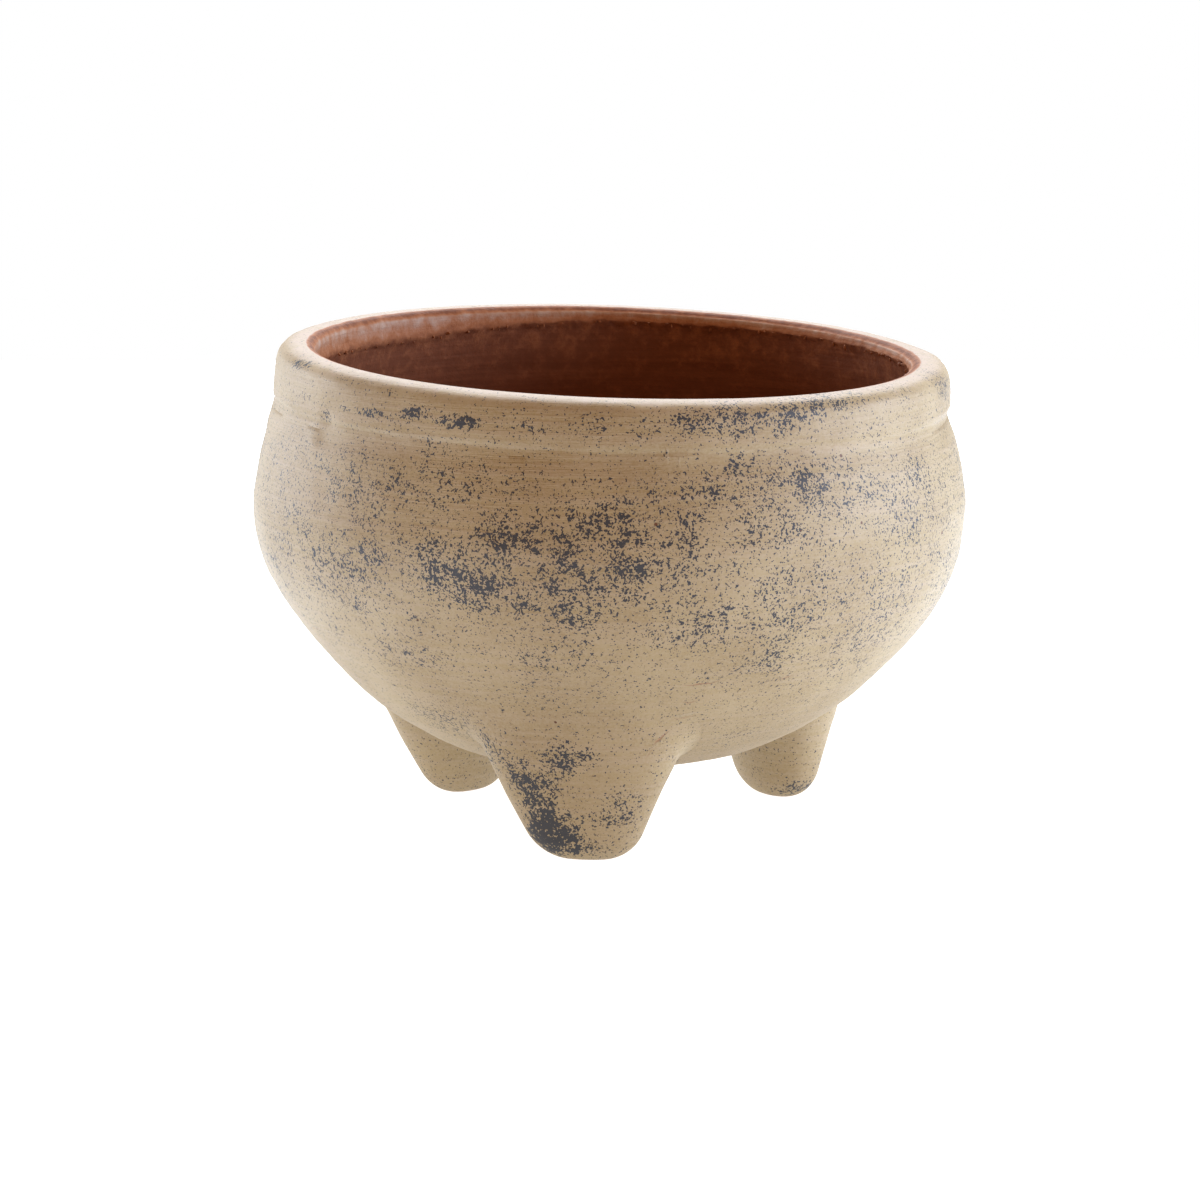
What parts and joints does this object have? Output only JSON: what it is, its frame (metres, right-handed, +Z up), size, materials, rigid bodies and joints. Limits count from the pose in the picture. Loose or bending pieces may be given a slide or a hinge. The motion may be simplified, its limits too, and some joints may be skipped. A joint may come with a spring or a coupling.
{
  "type": "tripod clay molcajete",
  "caption": "Hand-built earthenware grinding bowl with a thick rolled rim on three lobed feet, red clay inside and speckled cream slip outside.",
  "frame": {"origin": "on the ground, under the middle of the bowl, at the bottom centre of the bounding box", "axes": "+Z up through the mouth, -Y towards the front foot, +X to the right seen from the front"},
  "size_m": [0.212, 0.212, 0.1448],
  "materials": {
    "bowl_clay": "matte",
    "rim_clay": "matte",
    "foot_clay": "matte",
    "fillet_clay": "matte"
  },
  "bodies": {
    "root": {"lower_bowl": "bowl_clay", "upper_wall": "bowl_clay", "rim_coil": "rim_clay", "front_foot": "foot_clay", "left_foot": "foot_clay", "right_foot": "foot_clay", "front_foot_fillet": "fillet_clay", "left_foot_fillet": "fillet_clay", "right_foot_fillet": "fillet_clay"}
  },
  "joints": []
}
